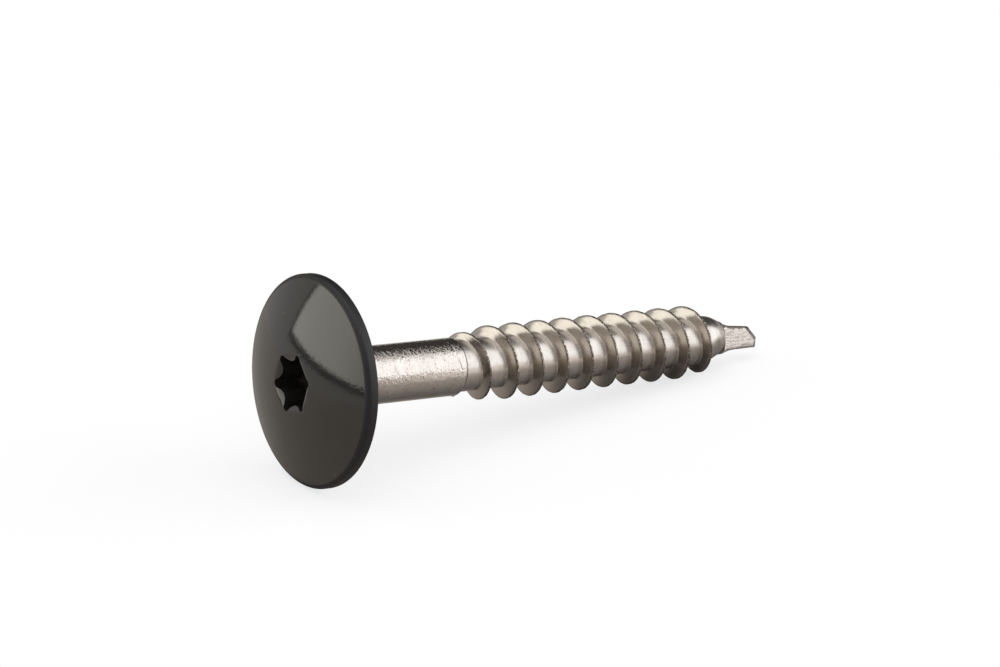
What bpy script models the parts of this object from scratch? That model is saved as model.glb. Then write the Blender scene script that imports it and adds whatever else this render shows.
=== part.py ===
# Facade screw: one piece of stainless steel with a wide, low-domed painted head, a six-lobe recess,
# a plain shank, a coarse thread with a wide root, and a flattened point.
# It is modelled along its own axis and then laid down as it comes to rest on a flat surface.
# Metres, +Z up.
import math

import bmesh
import bpy
from mathutils import Matrix, Vector

MM = 0.001

# Stations along the axis are counted from the flat underside of the head, towards the point.
# Bearings turn about the axis from the side (+Y) to the top (+Z).

# Head
HEAD_DIAMETER = 14.2 * MM
RIM_HEIGHT = 0.76 * MM  # underside to the edge that the dome would have without its round
DOME_HEIGHT = 1.48 * MM  # rise of the dome over that edge
RIM_ROUND = 0.33 * MM
UNDERSIDE_ROUND = 0.15 * MM
NECK_ROUND = 0.6 * MM

# Six-lobe recess, size 20, with the paint in it
LOBES = 6
LOBES_ACROSS = 3.98 * MM
VALLEYS_ACROSS = 2.88 * MM
LOBE_ROUND = 0.3 * MM
RECESS_DEPTH = 1.9 * MM  # mouth to the foot of the lobes
RECESS_FLOOR_DROP = 0.3 * MM  # the floor is a shallow cone
LEAD_IN_ANGLE = math.radians(38)  # slope of the flats between the dome and the valleys
LEAD_IN_MARGIN = 0.02 * MM  # how far the corners of the flats lie outside the lobes

# Shank
SHANK_DIAMETER = 3.95 * MM
SHANK_LENGTH = 10.6 * MM
SHOULDER_LENGTH = 0.12 * MM

# Thread
THREAD_DIAMETER = 5.17 * MM
CORE_DIAMETER = 3.54 * MM
PITCH = 2.158 * MM
FLANK_ANGLE = math.radians(20)  # each flank, from a plane square to the axis
CREST_WIDTH = 0.12 * MM
THREAD_START = 10.23 * MM  # where the crest comes out of the shank
THREAD_START_BEARING = math.radians(205)
THREAD_TURNS = 10.78
RUN_IN_TURNS = 2.15
RUN_OUT_TURNS = 1.25
THREAD_SINK = 0.2 * MM  # how far the ridge's foot lies inside the core

# Point
TAPER_START = 32.2 * MM
BLADE_START = 35.6 * MM
THINNING_START = 35.0 * MM  # the taper is round up to here and then flattened in a short run
BLADE_WIDTH = 1.74 * MM
BLADE_END_WIDTH = 1.46 * MM
BLADE_BEND = -0.18 * MM  # how far the blade's end lies off the axis, across its width
BLADE_THICKNESS = 0.84 * MM
BLADE_SQUARENESS = 7.0  # exponent of the section's outline, 2 for the round core
POINT_LENGTH = 38.0 * MM  # underside of the head to the very tip
TIP_OFFSET = -0.21 * MM  # how far the very tip lies off the axis, across the blade's width
UPPER_CUT_ANGLE = math.radians(41)  # how far the end's long edge leans from square
LOWER_CUT_ANGLE = math.radians(-12)
END_BEVEL_ANGLE = math.radians(47)  # how far the end's bevels lean from square

# How the screw lies
LYING_ROLL = math.radians(-17.7)

# Fineness of the faces
ROUND_STEPS = 48
DOME_STEPS = 7
ROUND_EDGE_STEPS = 4
NECK_STEPS = 3
LOBE_STEPS = 4
VALLEY_STEPS = 5
TAPER_STEPS = 7
THINNING_STEPS = 5
BLADE_STEPS = 3
CUTTER_REACH = 1.0 * MM  # how far the cutters stand out of the head
SMOOTH_ANGLE = math.radians(32)

head_radius = HEAD_DIAMETER / 2
shank_radius = SHANK_DIAMETER / 2
core_radius = CORE_DIAMETER / 2
dome_radius = (head_radius**2 + DOME_HEIGHT**2) / (2 * DOME_HEIGHT)
apex_station = -(RIM_HEIGHT + DOME_HEIGHT)


def eased(share):
    """Goes from 0 to 1 with a level start and end."""
    share = min(max(share, 0.0), 1.0)
    return share * share * (3 - 2 * share)


def blend(low, high, share):
    return low + (high - low) * share


def arc(centre_x, centre_r, radius, start, end, steps):
    """Points (station, radius) on an arc; 0 degrees points to the head's top and 90 outwards."""
    points = []
    for step in range(steps + 1):
        angle = blend(start, end, step / steps)
        points.append((centre_x - radius * math.cos(angle), centre_r + radius * math.sin(angle)))
    return points


def dome_station(radius):
    return apex_station + dome_radius - math.sqrt(dome_radius**2 - radius**2)


def head_profile():
    """Stations and radii from inside the recess, over the dome and the rim, to the shank's end."""
    edge_r = head_radius - RIM_ROUND
    edge_slope = math.asin(edge_r / (dome_radius - RIM_ROUND))
    edge_x = apex_station + dome_radius - (dome_radius - RIM_ROUND) * math.cos(edge_slope)
    first_r = VALLEYS_ACROSS / 4
    last_r = dome_radius * math.sin(edge_slope)
    profile = []
    for step in range(DOME_STEPS):
        radius = blend(first_r, last_r, step / DOME_STEPS)
        profile.append((dome_station(radius), radius))
    profile += arc(edge_x, edge_r, RIM_ROUND, edge_slope, math.pi / 2, ROUND_EDGE_STEPS)
    under_r = head_radius - UNDERSIDE_ROUND
    profile += arc(-UNDERSIDE_ROUND, under_r, UNDERSIDE_ROUND, math.pi / 2, math.pi, ROUND_EDGE_STEPS)
    for step in range(NECK_STEPS + 1):
        angle = blend(0.0, math.pi / 2, step / NECK_STEPS)
        neck_r = shank_radius + NECK_ROUND * (1 - math.sin(angle))
        profile.append((NECK_ROUND * (1 - math.cos(angle)), neck_r))
    profile.append((SHANK_LENGTH, shank_radius))
    profile.append((SHANK_LENGTH + SHOULDER_LENGTH, core_radius))
    return profile


def section(station, half_width, half_thickness, squareness):
    """A closed outline square to the axis: round at squareness 2, nearly a rectangle at a large one."""
    power = 2 / squareness
    bend = BLADE_BEND * max(0.0, (station - TAPER_START) / (POINT_LENGTH - TAPER_START)) ** 2
    points = []
    for step in range(ROUND_STEPS):
        angle = 2 * math.pi * step / ROUND_STEPS
        across = math.copysign(abs(math.cos(angle)) ** power, math.cos(angle))
        up = math.copysign(abs(math.sin(angle)) ** power, math.sin(angle))
        points.append(Vector((station, half_thickness * across, bend + half_width * up)))
    return points


def ring(station, radius, steps=ROUND_STEPS):
    angles = [2 * math.pi * step / steps for step in range(steps)]
    return [Vector((station, radius * math.cos(angle), radius * math.sin(angle))) for angle in angles]


def core_size(station):
    """Half the width, half the thickness and the squareness of the core and the blade at a station."""
    tapered = eased((station - TAPER_START) / (BLADE_START - TAPER_START))
    thinned = eased((station - THINNING_START) / (BLADE_START - THINNING_START))
    along_blade = min(max((station - BLADE_START) / (POINT_LENGTH - BLADE_START), 0.0), 1.0)
    blade_half_width = blend(BLADE_WIDTH, BLADE_END_WIDTH, along_blade) / 2
    half_width = blend(core_radius, blade_half_width, tapered)
    half_thickness = blend(half_width, BLADE_THICKNESS / 2, thinned)
    return half_width, half_thickness, blend(2.0, BLADE_SQUARENESS, thinned)


def core_reach(station, bearing):
    """The distance from the axis to the core's surface, seen along a bearing."""
    half_width, half_thickness, squareness = core_size(station)
    across = abs(math.cos(bearing) / half_thickness) ** squareness
    up = abs(math.sin(bearing) / half_width) ** squareness
    return (across + up) ** (-1 / squareness)


def crest_radius(turns, core):
    """The crest rises out of the shank over its first turns and sinks into the core over its last."""
    rise = math.sin(math.pi / 2 * min(max(turns / RUN_IN_TURNS, -1.0), 1.0))
    full = blend(shank_radius, THREAD_DIAMETER / 2, rise)
    fall = math.sin(math.pi / 2 * min((THREAD_TURNS - turns) / RUN_OUT_TURNS, 1.0))
    return blend(core - THREAD_SINK / 2, full, fall)


def thread_sections():
    """The ridge's section, one for each step along the helix."""
    sections = []
    buried_steps = ROUND_STEPS // 6
    for step in range(-buried_steps, round(THREAD_TURNS * ROUND_STEPS) + 1):
        turns = (step + 0.5) / ROUND_STEPS
        station = THREAD_START + PITCH * turns
        bearing = THREAD_START_BEARING + 2 * math.pi * turns
        core = core_reach(station, bearing)
        outer = crest_radius(turns, core)
        inner = core - THREAD_SINK
        half_crest = CREST_WIDTH / 2
        half_foot = half_crest + (outer - inner) * math.tan(FLANK_ANGLE)
        outline = ((-half_foot, inner), (-half_crest, outer), (half_crest, outer), (half_foot, inner))
        sections.append(
            [
                Vector((station + shift, radius * math.cos(bearing), radius * math.sin(bearing)))
                for shift, radius in outline
            ]
        )
    return sections


def lobe_outline(station):
    """The recess's outline: round lobes joined by round valleys that meet them without a corner."""
    lobe_centre = LOBES_ACROSS / 2 - LOBE_ROUND
    valley_reach = VALLEYS_ACROSS / 2
    half_turn = math.pi / LOBES
    # The valley's radius that makes its circle touch both neighbouring lobes' circles.
    lobe_side = lobe_centre * math.cos(half_turn)
    spare = lobe_centre**2 + valley_reach**2 - 2 * lobe_side * valley_reach - LOBE_ROUND**2
    valley_round = spare / (2 * lobe_side + 2 * LOBE_ROUND - 2 * valley_reach)
    valley_centre = valley_reach + valley_round
    across = valley_centre * math.sin(half_turn)
    lean = math.atan2(across, valley_centre * math.cos(half_turn) - lobe_centre)
    points = []
    for lobe in range(LOBES):
        lobe_bearing = 2 * half_turn * lobe
        valley_bearing = lobe_bearing + half_turn
        for step in range(LOBE_STEPS + 1):
            turn = lobe_bearing + blend(-lean, lean, step / LOBE_STEPS)
            points.append(
                (
                    lobe_centre * math.cos(lobe_bearing) + LOBE_ROUND * math.cos(turn),
                    lobe_centre * math.sin(lobe_bearing) + LOBE_ROUND * math.sin(turn),
                )
            )
        sweep = lean - half_turn
        for step in range(1, VALLEY_STEPS):
            turn = valley_bearing + math.pi + blend(sweep, -sweep, step / VALLEY_STEPS)
            points.append(
                (
                    valley_centre * math.cos(valley_bearing) + valley_round * math.cos(turn),
                    valley_centre * math.sin(valley_bearing) + valley_round * math.sin(turn),
                )
            )
    return [Vector((station, y, z)) for y, z in points]


def skin(bm, sections):
    """Joins closed outlines of equally many points into one closed body."""
    loops = [[bm.verts.new(point) for point in outline] for outline in sections]
    for loop, following in zip(loops, loops[1:]):
        for i in range(len(loop)):
            j = (i + 1) % len(loop)
            bm.faces.new((loop[i], loop[j], following[j], following[i]))
    bm.faces.new(loops[0])
    bm.faces.new(loops[-1])
    bmesh.ops.recalc_face_normals(bm, faces=bm.faces)


def cut_plane(bm, point, normal):
    """Cuts off what lies beyond a plane and closes the cut."""
    cut = bmesh.ops.bisect_plane(
        bm,
        geom=bm.verts[:] + bm.edges[:] + bm.faces[:],
        plane_co=point,
        plane_no=normal,
        clear_outer=True,
    )
    edges = [item for item in cut["geom_cut"] if isinstance(item, bmesh.types.BMEdge)]
    bmesh.ops.contextual_create(bm, geom=edges)
    bmesh.ops.recalc_face_normals(bm, faces=bm.faces)


def make_object(name, bm, materials):
    mesh = bpy.data.meshes.new(name)
    bm.to_mesh(mesh)
    bm.free()
    for material in materials:
        mesh.materials.append(material)
    obj = bpy.data.objects.new(name, mesh)
    bpy.context.scene.collection.objects.link(obj)
    return obj


def make_material(name, colour, roughness, metallic):
    material = bpy.data.materials.new(name)
    material.use_nodes = True
    shader = material.node_tree.nodes["Principled BSDF"]
    shader.inputs["Base Color"].default_value = (*colour, 1.0)
    shader.inputs["Roughness"].default_value = roughness
    shader.inputs["Metallic"].default_value = metallic
    return material


def apply_boolean(target, helper, operation):
    """Adds a Boolean and hides its helper."""
    modifier = target.modifiers.new(helper.name, "BOOLEAN")
    modifier.object = helper
    modifier.operation = operation
    helper.parent = target
    helper.hide_render = True
    helper.display_type = "WIRE"


def make_blank(materials):
    """Head, shank, core and point, before the thread is added and the recess is cut."""
    sections = [ring(station, radius) for station, radius in head_profile()]
    stations = [blend(TAPER_START, THINNING_START, step / TAPER_STEPS) for step in range(TAPER_STEPS)]
    for step in range(THINNING_STEPS):
        stations.append(blend(THINNING_START, BLADE_START, step / THINNING_STEPS))
    for step in range(BLADE_STEPS + 1):
        stations.append(blend(BLADE_START, POINT_LENGTH + BLADE_THICKNESS / 4, step / BLADE_STEPS))
    sections += [section(station, *core_size(station)) for station in stations]
    bm = bmesh.new()
    skin(bm, sections)
    tip = Vector((POINT_LENGTH, 0.0, TIP_OFFSET))
    for cut_angle in (UPPER_CUT_ANGLE, LOWER_CUT_ANGLE):
        for side in (-1, 1):
            outwards = Vector((math.cos(cut_angle), 0.0, math.sin(cut_angle)))
            outwards *= math.cos(END_BEVEL_ANGLE)
            sideways = Vector((0.0, side, 0.0)) * math.sin(END_BEVEL_ANGLE)
            cut_plane(bm, tip, outwards + sideways)
    for face in bm.faces:
        face.material_index = int(face.calc_center_median().x < 0)
    return make_object("screw", bm, materials)


def make_thread(materials):
    bm = bmesh.new()
    skin(bm, thread_sections())
    return make_object("thread_ridge", bm, materials)


def make_recess_cutter(materials):
    mouth = dome_station(LOBES_ACROSS / 2)
    foot = mouth + RECESS_DEPTH
    bm = bmesh.new()
    skin(bm, [lobe_outline(apex_station - CUTTER_REACH), lobe_outline(foot)])
    floor = max(bm.faces, key=lambda face: face.calc_center_median().x)
    centre = bmesh.ops.poke(bm, faces=[floor])["verts"][0]
    centre.co.x += RECESS_FLOOR_DROP
    for face in bm.faces:
        face.material_index = 1
    return make_object("recess_cutter", bm, materials)


def make_lead_in_cutter(materials):
    """A funnel with one flat side for each valley and its corners over the lobes."""
    mouth_radius = LOBES_ACROSS / 2 + LEAD_IN_MARGIN
    slope = math.tan(LEAD_IN_ANGLE) * math.cos(math.pi / LOBES)
    mouth = dome_station(mouth_radius)
    inner_radius = VALLEYS_ACROSS / 4
    outer_radius = mouth_radius + CUTTER_REACH / slope
    floor = mouth + (mouth_radius - inner_radius) * slope
    bm = bmesh.new()
    skin(bm, [ring(mouth - CUTTER_REACH, outer_radius, LOBES), ring(floor, inner_radius, LOBES)])
    for face in bm.faces:
        face.material_index = 1
    return make_object("lead_in_cutter", bm, materials)


def lay_down(screw):
    """Turns and lowers the screw until its rim and its thread touch the floor, over the origin."""
    graph = bpy.context.evaluated_depsgraph_get()
    mesh = screw.evaluated_get(graph).to_mesh()
    roll = Matrix.Rotation(LYING_ROLL, 4, "X")
    rolled = [roll @ vertex.co for vertex in mesh.vertices]
    screw.evaluated_get(graph).to_mesh_clear()
    rim = min(rolled, key=lambda point: point.z)
    tilt_angle = min(
        math.atan2(point.z - rim.z, point.x - rim.x) for point in rolled if point.x > SHANK_LENGTH
    )
    tilt = Matrix.Rotation(tilt_angle, 4, "Y")
    lying = [tilt @ point for point in rolled]
    low = Vector([min(point[axis] for point in lying) for axis in range(3)])
    high = Vector([max(point[axis] for point in lying) for axis in range(3)])
    shift = Vector((-(low.x + high.x) / 2, -(low.y + high.y) / 2, -low.z))
    screw.matrix_world = Matrix.Translation(shift) @ tilt @ roll


def main():
    for obj in list(bpy.data.objects):
        bpy.data.objects.remove(obj)
    steel = make_material("bare_stainless_steel", (0.55, 0.52, 0.49), 0.38, 1.0)
    paint = make_material("dark_grey_paint", (0.06, 0.058, 0.055), 0.25, 0.0)
    materials = (steel, paint)
    screw = make_blank(materials)
    apply_boolean(screw, make_thread(materials), "UNION")
    apply_boolean(screw, make_lead_in_cutter(materials), "DIFFERENCE")
    apply_boolean(screw, make_recess_cutter(materials), "DIFFERENCE")
    screw.data.shade_smooth()
    screw.data.set_sharp_from_angle(angle=SMOOTH_ANGLE)
    lay_down(screw)


main()
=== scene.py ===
import math

import bmesh
import bpy
from mathutils import Matrix, Vector, noise


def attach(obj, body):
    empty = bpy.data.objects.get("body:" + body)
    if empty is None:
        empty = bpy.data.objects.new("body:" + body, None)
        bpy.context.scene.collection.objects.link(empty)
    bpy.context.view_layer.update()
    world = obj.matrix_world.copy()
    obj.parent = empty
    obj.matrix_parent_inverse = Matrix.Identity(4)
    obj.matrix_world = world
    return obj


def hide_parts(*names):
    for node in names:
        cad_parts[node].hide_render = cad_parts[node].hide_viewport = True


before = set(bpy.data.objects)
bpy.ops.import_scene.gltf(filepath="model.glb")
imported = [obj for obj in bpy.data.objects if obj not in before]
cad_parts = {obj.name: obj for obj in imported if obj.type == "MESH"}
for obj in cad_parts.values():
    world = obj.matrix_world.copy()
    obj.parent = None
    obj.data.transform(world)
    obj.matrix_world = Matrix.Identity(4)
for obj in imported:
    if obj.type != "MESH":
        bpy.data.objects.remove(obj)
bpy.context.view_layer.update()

print("frame loaded")

# Pieces are modelled along the screw's own axis, in millimetres: x counts from the flat underside of
# the head towards the point, and bearings turn about x from +y to +z. layDown puts them in place.
lying = {"roll": -17.7, "tip": 8.3419559, "underside": (-17.582631, 0.0, 6.995320)}
turned = (
    Matrix.Rotation(math.radians(lying["tip"]), 4, "Y")
    @ Matrix.Rotation(math.radians(lying["roll"]), 4, "X")
)
layDown = Matrix.Scale(0.001, 4) @ Matrix.Translation(lying["underside"]) @ turned


def mixed(low, high, share):
    return low + (high - low) * share


def eased(share):
    share = min(max(share, 0.0), 1.0)
    return share * share * (3 - 2 * share)


def polar(x, radius, bearing):
    return Vector((x, radius * math.cos(bearing), radius * math.sin(bearing)))


def vertsOf(geom):
    return [item for item in geom if isinstance(item, bmesh.types.BMVert)]


def edgesOf(geom):
    return [item for item in geom if isinstance(item, bmesh.types.BMEdge)]


mergeGap = 0.001  # millimetres between points that are one
nearby = 0.1  # millimetres on each side of an open end where its edges are looked for


def toObject(bm, name):
    mesh = bpy.data.meshes.new(name)
    bm.to_mesh(mesh)
    bm.free()
    obj = bpy.data.objects.new(name, mesh)
    bpy.context.scene.collection.objects.link(obj)
    return obj


# The form of the screw

head = {
    "radius": 7.089,
    "rimHeight": 0.76,
    "domeHeight": 1.479,
    "rimRound": 0.33,
    "undersideRound": 0.15,
    "neckRound": 0.6,
    "paintEdge": 6.3,  # the paint ends here on the underside
    "lastRing": 0.4,  # from the dome's last ring to its edge
    "rings": 26,
    "steps": 144,
}
shank = {"radius": 1.975, "length": 10.6, "shoulder": 0.12, "joinStart": 4.0, "joinEnd": 9.6}
thread = {
    "radius": 2.585,
    "core": 1.77,
    "pitch": 2.158,
    "flanks": (math.radians(19.5), math.radians(30.0)),  # towards the head, towards the point
    "halfCrest": 0.06,
    "crestRound": 0.03,
    "rootRound": 0.025,
    "start": 10.23,
    "startBearing": math.radians(205),
    "turns": 10.78,
    "runIn": 2.15,
    "runOut": 1.25,
    "sink": 0.1,
    "leastShare": 0.3,
    "steps": 96,
    "spareTurns": 1,
    "longEdge": 0.4,  # longer edges of the profile are cut in five
    "joinGap": 0.004,  # between points of two turns that become one
    "fadeBelow": 0.2,  # a ridge lower than this fades faster
}
point = {
    "taperStart": 32.2,
    "joinStart": 33.9,
    "bladeStart": 35.6,
    "thinStart": 34.0,
    "thinEnd": 34.6,
    "rings": (7, 12, 20),  # up to thinStart, up to thinEnd, and to the end
    "width": 1.74,
    "endWidth": 1.46,
    "bend": -0.18,
    "bow": {"height": 0.13, "start": 32.4, "rise": 1.0, "fallStart": 33.8, "fall": 0.8},
    "thickness": 0.84,
    "squareness": 7.0,
    "length": 37.999,
    "spare": 0.3,  # drawn out beyond the length, and cut off again
    "tipOffset": -0.21,
    "cuts": (math.radians(41), math.radians(-12)),
    "bevel": math.radians(47),
}
nicks = {
    "crestDepth": 0.035,
    "crestScale": 2.6,
    "bladeDepth": 0.07,
    "bladeScale": 3.4,
    "bladeGrow": 0.6,  # length over which they grow to their full depth
    "bladeSpared": 0.1,  # noise below this leaves the blade whole
}


def coreSize(x):
    tapered = eased((x - point["taperStart"]) / (point["bladeStart"] - point["taperStart"]))
    thinned = eased((x - point["thinStart"]) / (point["thinEnd"] - point["thinStart"]))
    along = min(max((x - point["bladeStart"]) / (point["length"] - point["bladeStart"]), 0.0), 1.0)
    halfWidth = mixed(thread["core"], mixed(point["width"], point["endWidth"], along) / 2, tapered)
    halfThickness = mixed(halfWidth, point["thickness"] / 2, thinned)
    return halfWidth, halfThickness, mixed(2.0, point["squareness"], thinned)


def bendAt(x):
    sag = point["bend"] * max(0.0, (x - point["taperStart"]) / (point["length"] - point["taperStart"])) ** 2
    bow = point["bow"]
    fallen = eased((x - bow["fallStart"]) / bow["fall"])
    return sag + bow["height"] * eased((x - bow["start"]) / bow["rise"]) * (1 - fallen)


def coreReach(x, bearing):
    if x <= shank["length"]:
        return shank["radius"]
    if x < shank["length"] + shank["shoulder"]:
        return mixed(shank["radius"], thread["core"], (x - shank["length"]) / shank["shoulder"])
    halfWidth, halfThickness, squareness = coreSize(x)
    across = abs(math.cos(bearing) / halfThickness) ** squareness
    up = abs(math.sin(bearing) / halfWidth) ** squareness
    return (across + up) ** (-1 / squareness)


def crestHeight(turns, core):
    rise = math.sin(math.pi / 2 * min(max(turns / thread["runIn"], -1.0), 1.0))
    full = mixed(shank["radius"], thread["radius"], rise)
    fall = math.sin(math.pi / 2 * min((thread["turns"] - turns) / thread["runOut"], 1.0))
    return max(mixed(core - thread["sink"], full, fall) - core, 0.0)


def turnsAt(x, bearing):
    phase = (bearing - thread["startBearing"]) / (2 * math.pi)
    return phase + round((x - thread["start"]) / thread["pitch"] - phase)


def linkChain(bm, points):
    verts = [bm.verts.new((x, radius, 0.0)) for x, radius in points]
    for pair in zip(verts, verts[1:]):
        bm.edges.new(pair)
    return verts


def roundCorner(bm, vert, radius, turn, segments):
    bmesh.ops.bevel(
        bm,
        geom=[vert],
        offset=radius * math.tan(turn / 2),
        affect="VERTICES",
        segments=segments,
        profile=0.5,
        material=-1,
    )


def countOpen(bm):
    return sum(edge.is_boundary for edge in bm.edges)


def openEdges(bm, first, last):
    # The edges at the open ends that lie from first to last.
    low = first - nearby
    high = last + nearby
    return [edge for edge in bm.edges if edge.is_boundary and all(low < v.co.x < high for v in edge.verts)]


def makeThread():
    bm = bmesh.new()
    height = thread["radius"] - thread["core"]
    halfPitch = thread["pitch"] / 2
    feet = [thread["halfCrest"] + height * math.tan(flank) for flank in thread["flanks"]]
    turns = [math.pi / 2 - flank for flank in thread["flanks"]]
    verts = linkChain(
        bm,
        [
            (-halfPitch, thread["core"]),
            (-feet[0], thread["core"]),
            (-thread["halfCrest"], thread["radius"]),
            (thread["halfCrest"], thread["radius"]),
            (feet[1], thread["core"]),
            (halfPitch, thread["core"]),
        ],
    )
    for turn, low, high in zip(turns, (verts[1], verts[4]), (verts[2], verts[3])):
        roundCorner(bm, low, thread["rootRound"], turn, 4)
        roundCorner(bm, high, thread["crestRound"], turn, 2)
    long = [edge for edge in bm.edges if edge.calc_length() > thread["longEdge"]]
    bmesh.ops.subdivide_edges(bm, edges=long, cuts=4)
    first = thread["start"] - thread["pitch"] * thread["spareTurns"]
    bmesh.ops.translate(bm, verts=bm.verts, vec=(first, 0, 0))
    toStart = Matrix.Rotation(thread["startBearing"], 3, "X")
    bmesh.ops.rotate(bm, verts=bm.verts, cent=(0, 0, 0), matrix=toStart)
    bmesh.ops.spin(
        bm,
        geom=bm.verts[:] + bm.edges[:],
        cent=(0, 0, 0),
        axis=(1, 0, 0),
        dvec=(thread["pitch"] / thread["steps"], 0, 0),
        angle=2 * math.pi,
        steps=thread["steps"],
        use_merge=False,
        use_duplicate=False,
    )
    firstTurn = bm.verts[:] + bm.edges[:] + bm.faces[:]
    for count in range(1, 2 * thread["spareTurns"] + math.ceil(thread["turns"])):
        copied = bmesh.ops.duplicate(bm, geom=firstTurn)["geom"]
        bmesh.ops.translate(bm, verts=vertsOf(copied), vec=(thread["pitch"] * count, 0, 0))
    bmesh.ops.remove_doubles(bm, verts=bm.verts, dist=thread["joinGap"])

    # The ridge keeps its slopes where it is low, so its foot moves in and the root gets wider.
    ridge = bm.verts.layers.float.new("ridge")
    rootStarts = [foot + thread["rootRound"] * math.tan(turn / 2) for foot, turn in zip(feet, turns)]
    for vert in bm.verts:
        bearing = math.atan2(vert.co.z, vert.co.y)
        turns = turnsAt(vert.co.x, bearing)
        middle = thread["start"] + thread["pitch"] * turns
        shift = vert.co.x - middle
        rootStart = rootStarts[shift > 0]
        vert[ridge] = min(max((math.hypot(vert.co.y, vert.co.z) - thread["core"]) / height, 0.0), 1.0)
        share = max(crestHeight(turns, coreReach(middle, bearing)) / height, thread["leastShare"])
        lowRoot = mixed(thread["halfCrest"], rootStart, share)
        if abs(shift) > rootStart:
            moved = mixed(lowRoot, halfPitch, (abs(shift) - rootStart) / (halfPitch - rootStart))
        elif abs(shift) > thread["halfCrest"]:
            moved = mixed(thread["halfCrest"], abs(shift), share)
        else:
            moved = abs(shift)
        vert.co.x = middle + math.copysign(moved, shift)

    shoulder = shank["length"] + shank["shoulder"]
    for x, inner, outer in (
        (shank["joinEnd"], True, False),
        (shank["length"], False, False),
        (shoulder, False, False),
        (point["joinStart"], False, True),
    ):
        bmesh.ops.bisect_plane(
            bm,
            geom=bm.verts[:] + bm.edges[:] + bm.faces[:],
            plane_co=(x, 0, 0),
            plane_no=(1, 0, 0),
            clear_inner=inner,
            clear_outer=outer,
        )
    for vert in bm.verts:
        bearing = math.atan2(vert.co.z, vert.co.y)
        core = coreReach(vert.co.x, bearing)
        height = crestHeight(turnsAt(vert.co.x, bearing), core)
        worn = max(noise.noise(vert.co * nicks["crestScale"]), 0.0) * max(2 * vert[ridge] - 1, 0.0)
        vert[ridge] *= min(height / thread["fadeBelow"], 1.0)
        vert.co = polar(vert.co.x, core + vert[ridge] * height - worn * nicks["crestDepth"], bearing)
        vert.co.z += bendAt(vert.co.x)
    return bm


def makePoint(bm):
    # The open end is drawn out ring by ring, from the round core to the flat blade.
    x = point["joinStart"]
    loop = openEdges(bm, x, x)
    places = (x, point["thinStart"], point["thinEnd"], point["length"] + point["spare"])
    stations = []
    for start, end, count in zip(places, places[1:], point["rings"]):
        stations += [mixed(start, end, (step + 1) / count) for step in range(count)]
    drawnOut = []
    for following in stations:
        halfWidth, halfThickness, squareness = coreSize(x)
        newWidth, newThickness, newSquareness = coreSize(following)
        drawn = bmesh.ops.extrude_edge_only(bm, edges=loop)["geom"]
        for vert in vertsOf(drawn):
            up = (vert.co.z - bendAt(x)) / halfWidth
            across = vert.co.y / halfThickness
            angle = math.atan2(
                math.copysign(abs(up) ** (squareness / 2), up),
                math.copysign(abs(across) ** (squareness / 2), across),
            )
            power = 2 / newSquareness
            y = newThickness * math.copysign(abs(math.cos(angle)) ** power, math.cos(angle))
            z = newWidth * math.copysign(abs(math.sin(angle)) ** power, math.sin(angle))
            vert.co = Vector((following, y, z + bendAt(following)))
        drawnOut += vertsOf(drawn)
        loop = [edge for edge in edgesOf(drawn) if all(following - v.co.x < mergeGap for v in edge.verts)]
        x = following
    bmesh.ops.holes_fill(bm, edges=loop)
    for vert in drawnOut:
        depth = nicks["bladeDepth"] * eased((vert.co.x - point["thinStart"]) / nicks["bladeGrow"])
        worn = max(noise.noise(vert.co * nicks["bladeScale"]) - nicks["bladeSpared"], 0.0)
        vert.co.yz *= 1 - depth * worn
    tip = Vector((point["length"], 0.0, point["tipOffset"]))
    for lean in point["cuts"]:
        for side in (-1, 1):
            normal = Vector((math.cos(lean), 0.0, math.sin(lean))) * math.cos(point["bevel"])
            normal += Vector((0.0, side, 0.0)) * math.sin(point["bevel"])
            cut = bmesh.ops.bisect_plane(
                bm,
                geom=bm.verts[:] + bm.edges[:] + bm.faces[:],
                plane_co=tip,
                plane_no=normal,
                clear_outer=True,
            )
            bmesh.ops.holes_fill(bm, edges=edgesOf(cut["geom_cut"]))


def domeX(radius):
    ball = (head["radius"] ** 2 + head["domeHeight"] ** 2) / (2 * head["domeHeight"])
    return ball - math.sqrt(ball**2 - radius**2) - head["rimHeight"] - head["domeHeight"]


def makeHead():
    bm = bmesh.new()
    last = head["radius"] - head["lastRing"]
    rings = [mixed(0.0, last, step / head["rings"]) for step in range(head["rings"] + 1)]
    verts = linkChain(
        bm,
        [(domeX(radius), radius) for radius in rings]
        + [
            (-head["rimHeight"], head["radius"]),
            (0.0, head["radius"]),
            (0.0, head["paintEdge"]),
            (0.0, shank["radius"]),
            (shank["joinStart"], shank["radius"]),
        ],
    )
    rim, underside, _, neck, _ = verts[-5:]
    slope = 2 * math.atan(head["domeHeight"] / head["radius"])
    roundCorner(bm, rim, head["rimRound"], math.pi / 2 - slope, 8)
    roundCorner(bm, underside, head["undersideRound"], math.pi / 2, 5)
    roundCorner(bm, neck, head["neckRound"], math.pi / 2, 8)
    bmesh.ops.spin(
        bm,
        geom=bm.verts[:] + bm.edges[:],
        cent=(0, 0, 0),
        axis=(1, 0, 0),
        angle=2 * math.pi,
        steps=head["steps"],
        use_merge=True,
        use_duplicate=False,
    )
    bmesh.ops.remove_doubles(bm, verts=bm.verts, dist=mergeGap)
    return bm


# The six-lobe recess

recess = {
    "tips": 2.06,
    "valleys": 1.47,
    "lobeRound": 0.31,
    "depth": 1.9,
    "floorDrop": 0.3,
    "arcSteps": 7,
    "above": 1.0,  # how far the cutters reach out over the dome
    "leadIn": {"slope": math.radians(31), "reach": 2.07, "foot": 0.72},
    "mouth": {"slope": math.radians(17), "reach": 2.115, "foot": 1.3},
}


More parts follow.
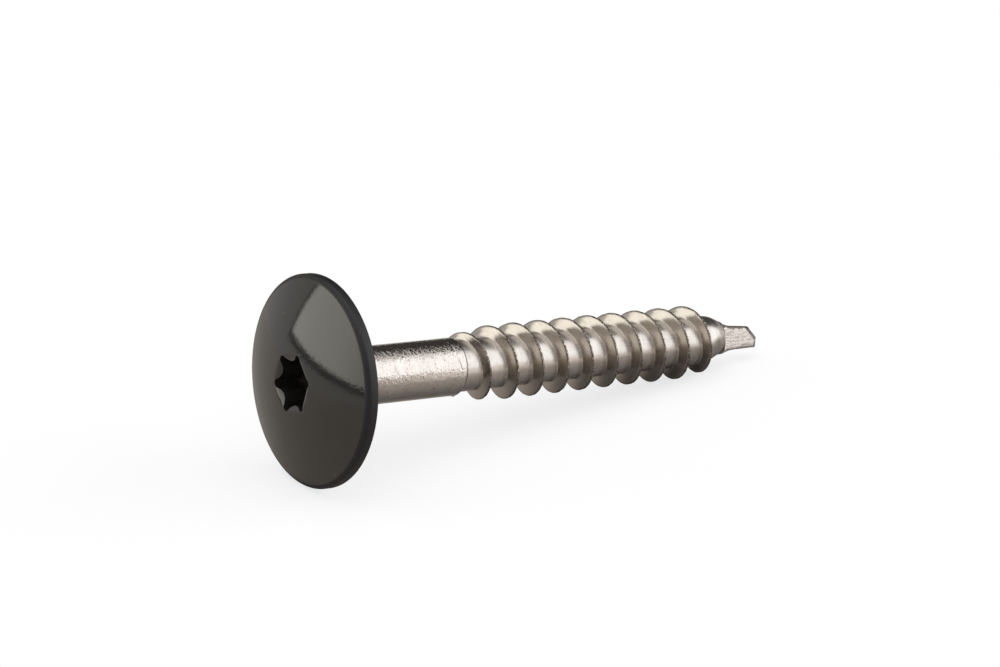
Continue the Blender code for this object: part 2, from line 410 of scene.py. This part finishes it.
def makeLobes():
    # Half a lobe and half a valley are arcs that touch; they are mirrored and repeated six times.
    bm = bmesh.new()
    top = domeX(0.0) - recess["above"]
    bottom = domeX(recess["tips"]) + recess["depth"]
    lobeRound = recess["lobeRound"]
    lobePlace = recess["tips"] - lobeRound
    side = math.sqrt(3) * lobePlace
    spare = recess["valleys"] ** 2 + lobePlace**2 - side * recess["valleys"] - lobeRound**2
    valleyRound = spare / (side + 2 * lobeRound - 2 * recess["valleys"])
    valleyBearing = math.radians(30)
    valleyCentre = polar(top, recess["valleys"] + valleyRound, valleyBearing)
    sweep = math.atan2(valleyCentre.z, valleyCentre.y - lobePlace)
    start = bm.verts.new(polar(top, recess["tips"], 0.0))
    ending = [start]
    for centre, angle in ((polar(top, lobePlace, 0.0), sweep), (valleyCentre, valleyBearing - sweep)):
        ending = bmesh.ops.spin(
            bm,
            geom=vertsOf(ending),
            cent=centre,
            axis=(1, 0, 0),
            angle=angle,
            steps=recess["arcSteps"],
        )["geom_last"]
    bmesh.ops.mirror(bm, geom=bm.verts[:] + bm.edges[:], axis="Z", merge_dist=mergeGap / 2)
    bmesh.ops.spin(
        bm,
        geom=bm.verts[:] + bm.edges[:],
        cent=(0, 0, 0),
        axis=(1, 0, 0),
        angle=2 * math.pi,
        steps=6,
        use_duplicate=True,
    )
    bmesh.ops.remove_doubles(bm, verts=bm.verts, dist=mergeGap)
    bmesh.ops.contextual_create(bm, geom=bm.edges[:])
    drawn = bmesh.ops.extrude_face_region(bm, geom=bm.faces[:])["geom"]
    bmesh.ops.translate(bm, verts=vertsOf(drawn), vec=(bottom - top, 0, 0))
    floor = [item for item in drawn if isinstance(item, bmesh.types.BMFace)]
    centre = bmesh.ops.poke(bm, faces=floor)["verts"][0]
    centre.co.x += recess["floorDrop"]
    bmesh.ops.recalc_face_normals(bm, faces=bm.faces)
    print("recess outline:", len(bm.verts), "points, open edges:", countOpen(bm))
    return bm


def makeFunnel(size):
    # A six-sided cone, wide above the dome, with its corners at the lobes.
    bm = bmesh.new()
    above = recess["above"]
    slope = math.tan(size["slope"]) * math.cos(math.pi / 6)
    mouth = domeX(size["reach"])
    bmesh.ops.create_cone(
        bm,
        cap_ends=True,
        segments=6,
        radius1=size["reach"] + above / slope,
        radius2=size["foot"],
        depth=above + (size["reach"] - size["foot"]) * slope,
    )
    low = min(vert.co.z for vert in bm.verts)
    bmesh.ops.translate(bm, verts=bm.verts, vec=(0, 0, mouth - above - low))
    bmesh.ops.rotate(bm, verts=bm.verts, cent=(0, 0, 0), matrix=Matrix.Rotation(math.pi / 2, 3, "Y"))
    bm.verts.ensure_lookup_table()
    corner = math.atan2(bm.verts[0].co.z, bm.verts[0].co.y)
    bmesh.ops.rotate(bm, verts=bm.verts, cent=(0, 0, 0), matrix=Matrix.Rotation(-corner, 3, "X"))
    bmesh.ops.recalc_face_normals(bm, faces=bm.faces)
    return bm


def cutRecess(bm):
    # The head is closed for the cut, so that it is a plain solid, and opened again at the shank.
    bmesh.ops.holes_fill(bm, edges=openEdges(bm, shank["joinStart"], shank["joinStart"]))
    bmesh.ops.recalc_face_normals(bm, faces=bm.faces)
    print("head to cut, open edges:", countOpen(bm))
    whole = toObject(bm, "whole")
    cutters = [
        toObject(makeFunnel(recess["mouth"]), "mouthCutter"),
        toObject(makeFunnel(recess["leadIn"]), "leadInCutter"),
        toObject(makeLobes(), "lobeCutter"),
    ]
    for cutter in cutters:
        modifier = whole.modifiers.new(cutter.name, "BOOLEAN")
        modifier.object = cutter
        modifier.operation = "DIFFERENCE"
        modifier.solver = "MANIFOLD"
    graph = bpy.context.evaluated_depsgraph_get()
    mesh = bpy.data.meshes.new_from_object(whole.evaluated_get(graph))
    for spare in [whole] + cutters:
        bpy.data.objects.remove(spare)
    bm = bmesh.new()
    bm.from_mesh(mesh)
    capStart = shank["joinStart"] - mergeGap
    cap = [face for face in bm.faces if all(vert.co.x > capStart for vert in face.verts)]
    bmesh.ops.delete(bm, geom=cap, context="FACES")
    bm.to_mesh(mesh)
    print("head cut:", len(bm.faces), "faces, open edges:", countOpen(bm))
    bm.free()
    return mesh


def makeForm():
    # Head, shank, thread and point as one skin.
    headMesh = cutRecess(makeHead())
    bm = makeThread()
    makePoint(bm)
    bm.from_mesh(headMesh)
    bpy.data.meshes.remove(headMesh)
    ends = openEdges(bm, shank["joinStart"], shank["joinEnd"])
    bmesh.ops.bridge_loops(bm, edges=ends)
    bmesh.ops.recalc_face_normals(bm, faces=bm.faces)
    print("open edges:", countOpen(bm), "faces:", len(bm.faces))
    return bm


coat = {
    "thickness": 0.03,
    "recess": {"end": 0.15, "reach": 2.12},  # faces before this place and this near the axis
    "slack": 0.01,  # for faces that lie on the coat's own edge
}


def isPainted(face):
    middle = face.calc_center_median()
    radius = math.hypot(middle.y, middle.z)
    onHead = middle.x < -mergeGap
    inRecess = middle.x < coat["recess"]["end"] and radius < coat["recess"]["reach"]
    underRim = middle.x < coat["slack"] and radius > head["paintEdge"] - coat["slack"]
    return onHead or inRecess or underRim


def finishPiece(bm, name):
    bm.transform(layDown)
    piece = toObject(bm, name)
    piece.data.shade_smooth()
    piece.data.set_sharp_from_angle(angle=math.radians(40))
    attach(piece, "root")
    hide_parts("screw")
    return piece


form = makeForm()
print("form made:", len(form.faces), "faces")

paintForm = form.copy()
bare = [face for face in paintForm.faces if not isPainted(face)]
bmesh.ops.delete(paintForm, geom=bare, context="FACES")
bmesh.ops.solidify(paintForm, geom=paintForm.faces[:], thickness=coat["thickness"])
headPaint = finishPiece(paintForm, "headPaint")

painted = set(face for face in form.faces if isPainted(face))
form.normal_update()
moves = {
    vert: vert.normal * -coat["thickness"] / 2
    for vert in form.verts
    if vert.link_faces and all(face in painted for face in vert.link_faces)
}
for vert, move in moves.items():
    vert.co += move
steelScrew = finishPiece(form, "steelScrew")
print("pieces placed")


# Materials

class Wire:
    # One socket of a material's nodes. Expressions on wires add Math nodes.
    def __init__(self, tree, socket):
        self.tree = tree
        self.socket = socket

    def add(self, kind, settings, inputs, output=0):
        node = self.tree.nodes.new(kind)
        for name, value in settings.items():
            setattr(node, name, value)
        for name, value in inputs.items():
            if isinstance(value, Wire):
                self.tree.links.new(value.socket, node.inputs[name])
            else:
                node.inputs[name].default_value = value
        return Wire(self.tree, node.outputs[output])

    def maths(self, operation, first, second):
        return self.add("ShaderNodeMath", {"operation": operation}, {0: first, 1: second})

    def __add__(self, other):
        return self.maths("ADD", self, other)

    def __radd__(self, other):
        return self.maths("ADD", other, self)

    def __sub__(self, other):
        return self.maths("SUBTRACT", self, other)

    def __rsub__(self, other):
        return self.maths("SUBTRACT", other, self)

    def __mul__(self, other):
        return self.maths("MULTIPLY", self, other)

    def __rmul__(self, other):
        return self.maths("MULTIPLY", other, self)

    def axis(self, name):
        return self.add("ShaderNodeSeparateXYZ", {}, {"Vector": self}, name)

    def distance(self):
        return self.add("ShaderNodeVectorMath", {"operation": "LENGTH"}, {0: self}, 1)

    def between(self, low, high):
        # 0 below low, 1 above high, smooth in between
        settings = {"interpolation_type": "SMOOTHSTEP"}
        return self.add("ShaderNodeMapRange", settings, {"Value": self, "From Min": low, "From Max": high})

    def band(self, start, end):
        # 1 after start and before end, each a soft edge
        return self.between(*start) * (1 - self.between(*end))

    def noise(self, scale, detail=2.0, rough=0.5):
        inputs = {"Vector": self, "Scale": scale, "Detail": detail, "Roughness": rough}
        return self.add("ShaderNodeTexNoise", {}, inputs)

    def stretched(self, scale):
        return self.add("ShaderNodeVectorMath", {"operation": "MULTIPLY"}, {0: self, 1: scale})

    def colour(self, low, high):
        return self.add("ShaderNodeMix", {"data_type": "RGBA"}, {0: self, 6: low, 7: high}, 2)


def objectPlace(tree):
    return Wire(tree, tree.nodes.new("ShaderNodeTexCoord").outputs["Object"])


def newMaterial(name):
    # A material's shader, and the place on the screw in millimetres, along and around its axis.
    material = bpy.data.materials.new(name)
    material.use_nodes = True
    tree = material.node_tree
    shader = tree.nodes["Principled BSDF"]
    start = objectPlace(tree)
    place = start.add(
        "ShaderNodeMapping",
        {"vector_type": "TEXTURE"},
        {
            "Vector": start,
            "Location": [value * 0.001 for value in lying["underside"]],
            "Rotation": turned.to_euler(),
            "Scale": (0.001, 0.001, 0.001),
        },
    )
    return material, shader, place


def setShader(shader, place, values):
    for name, value in values.items():
        if isinstance(value, Wire):
            place.tree.links.new(value.socket, shader.inputs[name])
        else:
            shader.inputs[name].default_value = value


def bumped(height, distance, normal=None):
    inputs = {"Height": height, "Distance": distance * 0.001, "Strength": 1.0}
    if normal:
        inputs["Normal"] = normal
    return height.add("ShaderNodeBump", {}, inputs)


def specks(place, cells, size, share):
    # Small round dots, one at most in each cell, in the given share of the cells.
    dots = {"Vector": place, "Scale": cells, "Randomness": 1.0}
    distance = place.add("ShaderNodeTexVoronoi", {}, dots, "Distance")
    pick = place.add("ShaderNodeTexVoronoi", {}, dots, "Color")
    chosen = place.add("ShaderNodeSeparateColor", {}, {"Color": pick}, "Red")
    solid = 0.6  # share of a dot's size inside its soft edge
    return (1 - distance.between(size * solid, size)) * (1 - chosen.between(share, share + 0.02))


paint = {
    "colour": (0.0140, 0.0137, 0.0128, 1),
    "duller": (0.0175, 0.0168, 0.0155, 1),
    # The rim's colour is painted shade: the same paint as the dome, made darker and bluer.
    "rim": (0.0042, 0.0044, 0.0085, 1),
    "rimEdge": (6.72, 6.84),  # distances from the axis
    "dust": (0.11, 0.104, 0.095, 1),
    "dustDots": {"cells": 1.0, "size": 0.075, "share": 0.55},
    "roughness": 0.055,
    "cloudRoughness": 0.04,
    "dustRoughness": 0.3,
    "rimRoughness": 0.42,
    "rimDullness": 0.42,  # share of Metallic, which takes the gloss off the nearly black rim
    "specular": 0.85,
    "glossTint": (1.0, 0.965, 0.90, 1),
    "peel": 0.0036,  # depths of the orange peel, millimetres
    "grain": 0.0016,
}


def makePaint():
    material, shader, place = newMaterial("darkHeadPaint")
    cloud = place.noise(0.45, 3.0)
    peel = place.noise(3.4, 2.0)
    grain = place.noise(9.0, 2.0)
    dust = specks(place, **paint["dustDots"])
    shadedRim = place.stretched((0.0, 1.0, 1.0)).distance().between(*paint["rimEdge"])
    # On the rim the paint turns to that darker colour: painted shade.
    tone = shadedRim.colour(cloud.between(0.3, 0.7).colour(paint["colour"], paint["duller"]), paint["rim"])
    roughness = paint["roughness"] + paint["cloudRoughness"] * cloud
    roughness = roughness + paint["dustRoughness"] * dust + paint["rimRoughness"] * shadedRim
    values = {
        "Base Color": dust.colour(tone, paint["dust"]),
        "Roughness": roughness,
        "Metallic": paint["rimDullness"] * shadedRim,
        "Specular IOR Level": paint["specular"],
        "Specular Tint": paint["glossTint"],
        "Normal": bumped(grain, paint["grain"], bumped(peel, paint["peel"])),
    }
    setShader(shader, place, values)
    return material


steel = {
    "bright": (0.60, 0.558, 0.515, 1),
    "dull": (0.53, 0.488, 0.448, 1),
    "tint": (0.50, 0.43, 0.385, 1),
    "flank": (0.51, 0.466, 0.416, 1),
    # A dark line painted along the crests, broken into dots: painted shade along their edges.
    "crest": (0.07, 0.052, 0.03, 1),
    # Dark pits and flecks; the same colour paints the shade lines at the fold, the shoulder, the blade's
    # top and the bevels' edge.
    "pitAndShade": (0.07, 0.058, 0.05, 1),
    "brown": (0.33, 0.25, 0.20, 1),
    "blade": (0.585, 0.527, 0.482, 1),
    "bladeMark": (0.20, 0.175, 0.155, 1),
    # The end's bevels are a darker grey: painted shade.
    "bevel": (0.34, 0.34, 0.335, 1),
    # The neck is where the core is drawn in towards the blade.
    "roughness": {"root": 0.27, "shank": 0.1, "flank": 0.2, "blade": 0.34, "neck": 0.5},
    "patchRoughness": 0.1,
    "grain": {"root": 0.0035, "shank": 0.030, "blade": 0.05, "neck": 0.036},  # millimetres deep
    "drawnDepth": 0.004,
    "streakShare": 0.5,
}
# Where the steel's finishes and its painted shade begin and end. Each pair is a soft edge, in millimetres
# along the screw unless it says otherwise.
steelEdges = {
    "shank": (10.55, 10.66),
    "shoulder": ((10.56, 10.62), (10.80, 10.88)),
    "neck": (33.1, 33.7),
    "bladeTopShade": (34.2, 34.5),
    "foldShade": ((34.22, 34.38), (34.5, 34.68)),
    "blade": (34.35, 34.6),
    "bladeTopShadeHeight": (4.67, 4.73),  # height, with a share of the length and the grain
    "bevel": (-0.47, -0.43),  # how far past the end's cuts; below zero is before them
    "bevelShadeLine": ((-0.53, -0.49), (-0.46, -0.42)),
    "flank": (0.02, 0.1),  # this and the next two are shares of the ridge's height
    "shoulderShadeHeight": (0.3, 0.5),
    "crest": (0.9, 0.965),
}


def overParts(values, parts):
    # The root's value, and where a part of the screw has its own, that one.
    total = values["root"]
    for name, share in parts.items():
        if name in values:
            total = total + (values[name] - values["root"]) * share
    return total


def makeSteel():
    material, shader, place = newMaterial("bareStainless")
    along = place.axis("X")
    upward = place.axis("Z")
    ridge = place.add("ShaderNodeAttribute", {"attribute_name": "ridge"}, {}, "Fac")
    onShank = 1 - along.between(*steelEdges["shank"])
    onBlade = along.between(*steelEdges["blade"])
    onFlank = ridge.between(*steelEdges["flank"])
    onNeck = along.between(*steelEdges["neck"]) * (1 - onBlade)
    parts = {"shank": onShank, "blade": onBlade, "flank": onFlank, "neck": onNeck}
    cloud = place.noise(0.5, 4.0, 0.6)
    patches = place.noise(1.6, 3.0, 0.6)
    grain = place.noise(4.6, 2.0, 0.6)
    fine = place.noise(11.0, 2.0)
    drawn = place.stretched((6.0, 0.7, 0.7)).noise(1.6, 3.0, 0.65)
    streaks = place.stretched((0.5, 6.0, 6.0)).noise(2.0, 3.0, 0.65)
    pits = specks(place, cells=3.6, size=0.2, share=0.14) * onShank
    # The crests are painted dark in broken dots: painted shade along their edges.
    crest = ridge.between(*steelEdges["crest"]) * fine.between(0.38, 0.5)
    wander = along + 0.3 * upward * upward - 0.16 * upward + 0.3 * fine
    # A dark line painted where the core folds into the blade: painted shade in that hollow.
    foldShade = wander.band(*steelEdges["foldShade"])
    # A dark, ragged band painted along the blade's top edge: painted shade.
    bladeTopShade = (upward + 0.11 * along + 0.34 * grain).between(*steelEdges["bladeTopShadeHeight"])
    bladeTopShade = bladeTopShade * along.between(*steelEdges["bladeTopShade"])
    scrape = place.stretched((2.2, 0.7, 5.0)).noise(1.5, 3.0, 0.6).between(0.56, 0.66) * onBlade
    # A dark line painted on the root just past the shank's shoulder: painted shade at the step.
    shoulderShade = along.band(*steelEdges["shoulder"]) * (1 - ridge.between(*steelEdges["shoulderShadeHeight"]))
    # How far a place lies beyond the end's upper and lower cut; the end is before both.
    upper, lower = (
        (along - point["length"]) * math.cos(lean) + (upward - point["tipOffset"]) * math.sin(lean)
        for lean in point["cuts"]
    )
    tip = upper.maths("MAXIMUM", upper, lower)
    # The bevels get their darker grey and a dark line along their edge: painted shade.
    shadedBevel = tip.between(*steelEdges["bevel"])
    bevelEdgeShade = tip.band(*steelEdges["bevelShadeLine"]) * grain.between(0.36, 0.5)

    # Each layer's share and its colour, from the lowest to the topmost.
    tone = cloud.between(0.3, 0.7).colour(steel["dull"], steel["bright"])
    layers = (
        (onFlank, steel["flank"]),
        (patches.between(0.45, 0.7) * 0.6, steel["tint"]),
        (onBlade, steel["blade"]),
        (fine.between(0.5, 0.75) * 0.3 * (1 - onBlade) * (1 - 0.7 * onShank), steel["tint"]),
        (onNeck * 0.8, steel["tint"]),
        (drawn.between(0.55, 0.75) * 0.35 * (1 - onBlade), steel["bladeMark"]),
        (grain.between(0.58, 0.72) * 0.42 * onBlade, steel["bladeMark"]),
        (fine.between(0.5, 0.66) * 0.16 * onShank, steel["brown"]),
        (grain.between(0.64, 0.74) * 0.5 * onShank, steel["pitAndShade"]),
        (pits * 0.6, steel["pitAndShade"]),
        (foldShade * 0.85, steel["pitAndShade"]),
        (shadedBevel, steel["bevel"]),
        (scrape * 0.34 * (1 - shadedBevel), steel["bladeMark"]),
        (bevelEdgeShade * 0.8, steel["pitAndShade"]),
        (bladeTopShade * 0.9, steel["pitAndShade"]),
        (shoulderShade * 0.75, steel["pitAndShade"]),
        (crest * 0.9, steel["crest"]),
    )
    for share, colour in layers:
        tone = share.colour(tone, colour)
    height = (grain + steel["streakShare"] * streaks * onBlade) * overParts(steel["grain"], parts)
    height = height + steel["drawnDepth"] * drawn * (1 - onShank)
    values = {
        "Base Color": tone,
        "Metallic": 1.0,
        "Roughness": overParts(steel["roughness"], parts) + steel["patchRoughness"] * (patches - 0.5),
        "Normal": bumped(height, 1.0),
    }
    setShader(shader, place, values)
    return material


headPaint.data.materials.clear()
headPaint.data.materials.append(makePaint())
steelScrew.data.materials.clear()
steelScrew.data.materials.append(makeSteel())
print("materials made")


# Camera, floor and light

view = {
    "place": (-0.11358, -0.15437, 0.08316),
    "towards": (0.5406, 0.7543, -0.3726),
    "lens": 108.0,
}
camera = bpy.data.cameras.new("camera")
camera.lens = view["lens"]
camera.clip_start = 0.01
cameraObject = bpy.data.objects.new("camera", camera)
cameraObject.location = view["place"]
cameraObject.rotation_euler = Vector(view["towards"]).to_track_quat("-Z", "Y").to_euler()
bpy.context.scene.collection.objects.link(cameraObject)
bpy.context.scene.camera = cameraObject
bpy.context.scene.view_settings.view_transform = "Standard"

studio = {
    "floorTone": (0.32, 0.312, 0.304, 1),
    "floorGlow": (0.72, 0.725, 0.735, 1),  # for the camera alone, on top of the light that falls there
    "floorWarmth": (0.172, 0.148, 0.128, 1),  # for all other rays
    "floorFar": (0.46, 0.43, 0.40, 1),
    "floorShine": (0.90, 0.84, 0.80, 1),  # the right soft box, mirrored in the table
    "shineBearing": 56.0,
    "shineStart": 0.017,  # metres, as all places and lengths of the studio
    "floorEnds": (-0.4, 0.6),
    "floorSides": (-0.062, 0.6),
    "floorTurn": 35.6,
    "ambient": 0.35,
    "wallRadius": 1.2,
    "wallLow": -0.60,
    "frameTone": (0.13, 0.13, 0.13, 1),
    "ceilingLift": 1.32,
    "ceilingRadius": 1.05,
    "ceilingTone": (1.35, 1.35, 1.35, 1),
    "ceilingEdge": (0.92, 0.92, 0.92, 1),  # above the dark wall
    "ceilingTurn": 65.0,  # bearing in which it gets darker
    "ceilingFade": (0.42, 0.75),
}

# Soft boxes stand around the screw; compass bearings in degrees count from +y towards +x.
softBoxes = {
    "leftBox": {
        "bearing": -64.5,
        "lift": 0.392,
        "away": 1.06,
        "size": (1.08, 0.86),
        "pitch": 22.0,
        "margin": 0.046,
        "glow": 1.38,
        "fade": 0.6,  # share of the glow lost towards its far left end
        "colour": (1.0, 0.995, 0.94),
    },
    "rightBox": {
        "bearing": 123.0,
        "lift": 0.445,
        "away": 0.9,
        "size": (1.09, 0.91),
        "pitch": 0.0,
        "margin": 0.004,
        "glow": 1.33,
        "fade": 0.0,
        "colour": (0.97, 1.0, 1.03),
    },
}
# Walls close the studio behind the soft boxes: from and to as bearings, top in metres, and glow.
walls = {
    "darkWall": {"reach": (15.0, 95.0), "top": 1.33, "glow": (0.062, 0.059, 0.058, 1)},
    "paleWall": {"reach": (152.0, 375.0), "top": 2.3, "glow": (0.53, 0.52, 0.51, 1)},
}


black = (0, 0, 0, 1)


def compass(bearing):
    bearing = math.radians(bearing)
    return Vector((math.sin(bearing), math.cos(bearing), 0.0))


def addLamp(name, place, facing, size, glow, colour, fade):
    lamp = bpy.data.lights.new(name, "AREA")
    lamp.shape = "RECTANGLE"
    lamp.size, lamp.size_y = size
    lamp.energy = 4 * size[0] * size[1] * glow
    lamp.color = colour
    if fade:
        lamp.use_nodes = True
        tree = lamp.node_tree
        over = Wire(tree, tree.nodes.new("ShaderNodeNewGeometry").outputs["Parametric"])
        strength = 1 - fade * over.axis("X").between(0.45, 1.0)
        tree.links.new(strength.socket, tree.nodes["Emission"].inputs["Strength"])
    lampObject = bpy.data.objects.new(name, lamp)
    turnedRound = facing.to_track_quat("-Z", "Y").to_matrix().to_4x4()
    lampObject.matrix_world = Matrix.Translation(place) @ turnedRound
    lampObject.visible_camera = False
    bpy.context.scene.collection.objects.link(lampObject)
    return lampObject


def stageMaterial(name, tone, glow=None):
    # A flat tone with a glow of its own.
    material = bpy.data.materials.new(name)
    material.use_nodes = True
    shader = material.node_tree.nodes["Principled BSDF"]
    shader.inputs["Base Color"].default_value = tone
    shader.inputs["Roughness"].default_value = 1.0
    shader.inputs["Specular IOR Level"].default_value = 0.0
    if glow:
        shader.inputs["Emission Color"].default_value = glow
        shader.inputs["Emission Strength"].default_value = 1.0
        material.cycles.emission_sampling = "NONE"
    return material


def floorMaterial():
    # White for the camera. The screw mirrors a warm grey table with the right soft box shining in it, and a
    # painted shadow along the screw.
    # Distances are in metres from the middle of the screw, along x and y.
    material = stageMaterial("floorWhite", studio["floorTone"], studio["floorGlow"])
    tree = material.node_tree
    place = objectPlace(tree)
    across = place.axis("Y")
    along = place.axis("X")
    outward = compass(studio["shineBearing"])
    beside = (along + studio["shineStart"]) * outward.x + across * outward.y
    shine = (across * -1).between(0.008, 0.022) * beside.between(-0.002, 0.006)
    # Near the screw the table's glow for reflections is black: a painted shadow under the screw.
    nearShadowEdge = (across * -1).between(0.001, 0.009)
    away = nearShadowEdge + across.between(0.0, 0.003) + (along * -1).between(0.017, 0.021)
    far = place.distance().between(0.01, 0.16)
    warm = (far * across.between(0.0, 0.03)).colour(studio["floorWarmth"], studio["floorFar"])
    mirrored = shine.colour(away.colour(black, warm), studio["floorShine"])
    seen = Wire(tree, tree.nodes.new("ShaderNodeLightPath").outputs["Is Camera Ray"])
    glow = seen.colour(mirrored, studio["floorGlow"])
    tree.links.new(glow.socket, tree.nodes["Principled BSDF"].inputs["Emission Color"])
    return material


def ceilingMaterial():
    material = stageMaterial("ceilingGrey", black, studio["ceilingTone"])
    tree = material.node_tree
    place = objectPlace(tree)
    outward = compass(studio["ceilingTurn"])
    reached = outward.x * place.axis("X") + outward.y * place.axis("Y")
    glow = reached.between(*studio["ceilingFade"]).colour(studio["ceilingTone"], studio["ceilingEdge"])
    tree.links.new(glow.socket, tree.nodes["Principled BSDF"].inputs["Emission Color"])
    return material


def stagePiece(bm, name, material):
    piece = toObject(bm, name)
    piece.data.materials.append(material)
    return piece


floorForm = bmesh.new()
bmesh.ops.create_grid(floorForm, x_segments=1, y_segments=1, size=1.0)
for vert in floorForm.verts:
    side, end = studio["floorSides"][vert.co.x > 0], studio["floorEnds"][vert.co.y > 0]
    vert.co = Vector((side, end, -0.00001))
turnFloor = Matrix.Rotation(-math.radians(studio["floorTurn"]), 3, "Z")
bmesh.ops.rotate(floorForm, verts=floorForm.verts, cent=(0, 0, 0), matrix=turnFloor)
stagePiece(floorForm, "floor", floorMaterial())

for name, box in softBoxes.items():
    outward = compass(box["bearing"])
    place = outward * box["away"] + Vector((0, 0, box["lift"]))
    facing = -outward + Vector((0, 0, math.tan(math.radians(box["pitch"]))))
    lamp = addLamp(name, place, facing, box["size"], box["glow"], box["colour"], box["fade"])
    frameForm = bmesh.new()
    bmesh.ops.create_grid(frameForm, x_segments=1, y_segments=1, size=0.5)
    across, tall = (length + 2 * box["margin"] for length in box["size"])
    bmesh.ops.scale(frameForm, verts=frameForm.verts, vec=(across, tall, 1))
    bmesh.ops.translate(frameForm, verts=frameForm.verts, vec=(0, 0, 0.01))
    frameForm.transform(lamp.matrix_world)
    edge = stagePiece(frameForm, name + "Frame", stageMaterial(name + "Dark", black, studio["frameTone"]))
    edge.visible_camera = False

for name, wall in walls.items():
    wallForm = bmesh.new()
    first, last = wall["reach"]
    start = compass(first) * studio["wallRadius"]
    corners = [wallForm.verts.new((start.x, start.y, z)) for z in (studio["wallLow"], wall["top"])]
    bottomUp = wallForm.edges.new(corners)
    turn = -math.radians(last - first)
    bmesh.ops.spin(
        wallForm,
        geom=corners + [bottomUp],
        cent=(0, 0, 0),
        axis=(0, 0, 1),
        angle=turn,
        steps=32,
    )
    wallPiece = stagePiece(wallForm, name, stageMaterial(name + "Grey", black, wall["glow"]))
    wallPiece.visible_camera = False

ceilingForm = bmesh.new()
bmesh.ops.create_circle(ceilingForm, cap_ends=True, segments=48, radius=studio["ceilingRadius"])
bmesh.ops.translate(ceilingForm, verts=ceilingForm.verts, vec=(0, 0, studio["ceilingLift"]))
ceiling = stagePiece(ceilingForm, "ceiling", ceilingMaterial())
ceiling.visible_camera = False

world = bpy.data.worlds.new("studio")
bpy.context.scene.world = world
world.use_nodes = True
worldTree = world.node_tree
paths = worldTree.nodes.new("ShaderNodeLightPath")
direct = Wire(worldTree, paths.outputs["Is Camera Ray"])
for ray in ("Is Glossy Ray", "Is Transmission Ray"):
    direct = direct + Wire(worldTree, paths.outputs[ray])
ambient = studio["ambient"]
skyTone = direct.colour((ambient, ambient, ambient, 1), (1, 1, 1, 1))
worldTree.links.new(skyTone.socket, worldTree.nodes["Background"].inputs["Color"])
print("studio made")
